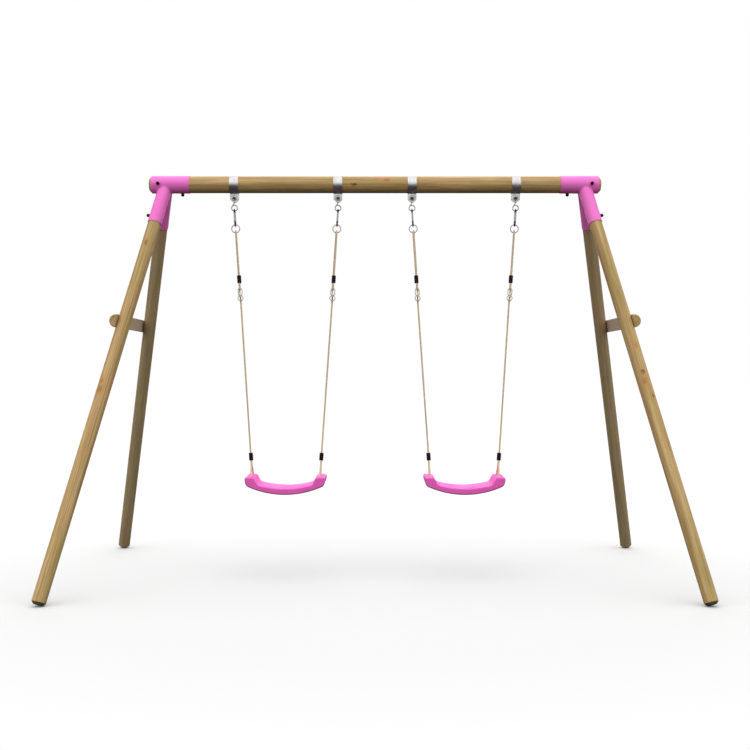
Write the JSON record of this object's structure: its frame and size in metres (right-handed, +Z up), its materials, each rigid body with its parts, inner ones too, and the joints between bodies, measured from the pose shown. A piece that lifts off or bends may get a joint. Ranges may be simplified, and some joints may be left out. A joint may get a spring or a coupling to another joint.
{
  "type": "swing set",
  "caption": "Garden swing set: round timber A-frame legs with braces, steel corner sleeves on a round beam, and curved plastic seats hung on ropes with rings and snap hooks.",
  "frame": {"origin": "on the ground under the middle of the beam, midway between the feet", "axes": "+X along the beam, -Y towards the front (the side a rider faces is +Y or -Y alike), +Z up"},
  "size_m": [3.261, 1.7512, 2.2039],
  "materials": {
    "timber": "planed round pole, pressure treated, unpainted",
    "powder_coat": "gloss pink powder coat on steel",
    "galvanised_steel": "hot-dip galvanised, dull",
    "zinc_fastener": "zinc-plated",
    "black_plastic": "moulded, satin black",
    "rope": "laid polypropylene rope, beige",
    "seat_plastic": "moulded pink plastic, smooth"
  },
  "bodies": {
    "frame": {"beam": "timber", "left_bracket": "powder_coat", "right_bracket": "powder_coat", "left_front_leg": "timber", "left_rear_leg": "timber", "right_front_leg": "timber", "right_rear_leg": "timber", "left_brace": "timber", "right_brace": "timber", "sleeve_bolts": "zinc_fastener", "sleeve_nuts": "zinc_fastener", "bracket_screws": "zinc_fastener", "brace_screws": "zinc_fastener", "washers": "zinc_fastener", "bolt_covers": "black_plastic", "left_outer_strap": "galvanised_steel", "left_inner_strap": "galvanised_steel", "right_outer_strap": "galvanised_steel", "right_inner_strap": "galvanised_steel", "hanger_bolts": "zinc_fastener", "hanger_nuts": "zinc_fastener", "hanger_bushes": "black_plastic", "strap_screws": "zinc_fastener", "left_outer_hook": "galvanised_steel", "left_inner_hook": "galvanised_steel", "right_outer_hook": "galvanised_steel", "right_inner_hook": "galvanised_steel"},
    "left_snap_hooks": {"left_outer_snap_hook": "galvanised_steel", "left_inner_snap_hook": "galvanised_steel", "left_gate_pins": "galvanised_steel"},
    "left_swing": {"left_seat": "seat_plastic", "left_outer_rope": "rope", "left_outer_ring": "galvanised_steel", "left_outer_adjuster": "galvanised_steel", "left_outer_upper_ferrule": "black_plastic", "left_outer_lower_ferrule": "black_plastic", "left_inner_rope": "rope", "left_inner_ring": "galvanised_steel", "left_inner_adjuster": "galvanised_steel", "left_inner_upper_ferrule": "black_plastic", "left_inner_lower_ferrule": "black_plastic"},
    "left_outer_gate": {"left_outer_gate": "galvanised_steel"},
    "left_inner_gate": {"left_inner_gate": "galvanised_steel"},
    "right_snap_hooks": {"right_outer_snap_hook": "galvanised_steel", "right_inner_snap_hook": "galvanised_steel", "right_gate_pins": "galvanised_steel"},
    "right_swing": {"right_seat": "seat_plastic", "right_outer_rope": "rope", "right_outer_ring": "galvanised_steel", "right_outer_adjuster": "galvanised_steel", "right_outer_upper_ferrule": "black_plastic", "right_outer_lower_ferrule": "black_plastic", "right_inner_rope": "rope", "right_inner_ring": "galvanised_steel", "right_inner_adjuster": "galvanised_steel", "right_inner_upper_ferrule": "black_plastic", "right_inner_lower_ferrule": "black_plastic"},
    "right_outer_gate": {"right_outer_gate": "galvanised_steel"},
    "right_inner_gate": {"right_inner_gate": "galvanised_steel"}
  },
  "joints": [
    {"name": "left_hook_swing", "type": "hinge", "parent": "frame", "child": "left_snap_hooks", "pos_m": [-0.493, 0, 2.01066], "axis": [1, 0, 0], "range_deg": [-60, 60]},
    {"name": "left_ring_swing", "type": "hinge", "parent": "left_snap_hooks", "child": "left_swing", "pos_m": [-0.493, 0, 1.93369], "axis": [1, 0, 0], "range_deg": [-30, 30]},
    {"name": "left_outer_gate_hinge", "type": "hinge", "parent": "left_snap_hooks", "child": "left_outer_gate", "pos_m": [-0.77624, 0.0165, 1.9476], "axis": [0.9977, 0, 0.0673], "range_deg": [0, 25], "stiffness_Nm_per_rad": 0.12, "springref_deg": -28.65},
    {"name": "left_inner_gate_hinge", "type": "hinge", "parent": "left_snap_hooks", "child": "left_inner_gate", "pos_m": [-0.20975, 0.0165, 1.9476], "axis": [0.9977, 0, -0.0673], "range_deg": [0, 25], "stiffness_Nm_per_rad": 0.12, "springref_deg": -28.65},
    {"name": "right_hook_swing", "type": "hinge", "parent": "frame", "child": "right_snap_hooks", "pos_m": [0.493, 0, 2.01066], "axis": [1, 0, 0], "range_deg": [-60, 60]},
    {"name": "right_ring_swing", "type": "hinge", "parent": "right_snap_hooks", "child": "right_swing", "pos_m": [0.493, 0, 1.93369], "axis": [1, 0, 0], "range_deg": [-30, 30]},
    {"name": "right_outer_gate_hinge", "type": "hinge", "parent": "right_snap_hooks", "child": "right_outer_gate", "pos_m": [0.77624, 0.0165, 1.9476], "axis": [0.9977, 0, -0.0673], "range_deg": [0, 25], "stiffness_Nm_per_rad": 0.12, "springref_deg": -28.65},
    {"name": "right_inner_gate_hinge", "type": "hinge", "parent": "right_snap_hooks", "child": "right_inner_gate", "pos_m": [0.20975, 0.0165, 1.9476], "axis": [0.9977, 0, 0.0673], "range_deg": [0, 25], "stiffness_Nm_per_rad": 0.12, "springref_deg": -28.65}
  ]
}
